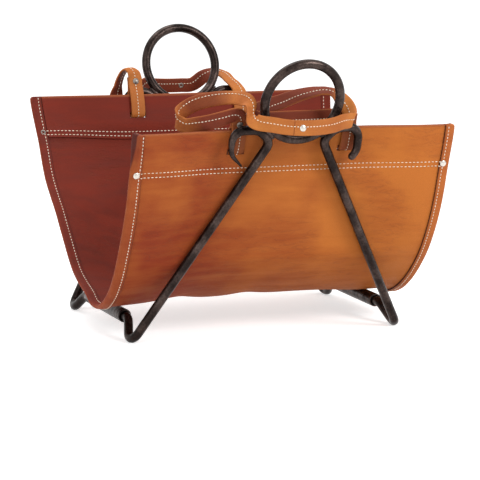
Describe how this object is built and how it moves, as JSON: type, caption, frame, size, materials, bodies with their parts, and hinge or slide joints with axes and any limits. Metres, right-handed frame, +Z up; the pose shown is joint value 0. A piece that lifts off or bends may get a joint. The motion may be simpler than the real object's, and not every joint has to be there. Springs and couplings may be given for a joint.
{
  "type": "log carrier",
  "caption": "Firewood log carrier: an open-ended leather sling with strap handles, resting in a forged iron stand of leaning ring-topped frames joined by tubes.",
  "frame": {"origin": "on the floor, midway between the feet, under the middle of the object's box", "axes": "+Z up, the front face looks along -Y, the logs lie along X"},
  "size_m": [0.47, 0.498, 0.3956],
  "materials": {
    "iron": "forged black iron, waxed",
    "tan_leather": "oiled saddle tan, smooth",
    "dark_leather": "red brown flesh side",
    "rivet_metal": "nickel plate"
  },
  "bodies": {
    "stand": {"front_ring": "iron", "rear_ring": "iron", "front_left_leg": "iron", "front_right_leg": "iron", "rear_left_leg": "iron", "rear_right_leg": "iron", "left_cross_tube": "iron", "right_cross_tube": "iron"},
    "sling": {"sling_panel": "tan_leather", "front_rim_facing": "dark_leather", "rear_rim_facing": "dark_leather", "left_edge_binding": "tan_leather", "right_edge_binding": "tan_leather", "front_handle_strap": "tan_leather", "rear_handle_strap": "tan_leather", "front_left_handle_rivet": "rivet_metal", "front_right_handle_rivet": "rivet_metal", "rear_left_handle_rivet": "rivet_metal", "rear_right_handle_rivet": "rivet_metal", "front_grip_rivet": "rivet_metal", "rear_grip_rivet": "rivet_metal", "front_left_hem_rivet": "rivet_metal", "front_right_hem_rivet": "rivet_metal", "rear_left_hem_rivet": "rivet_metal", "rear_right_hem_rivet": "rivet_metal"}
  },
  "joints": [
    {"name": "sling_lift", "type": "slide", "parent": "stand", "child": "sling", "axis": [0, 0, 1], "range_m": [0, 0.37]}
  ]
}
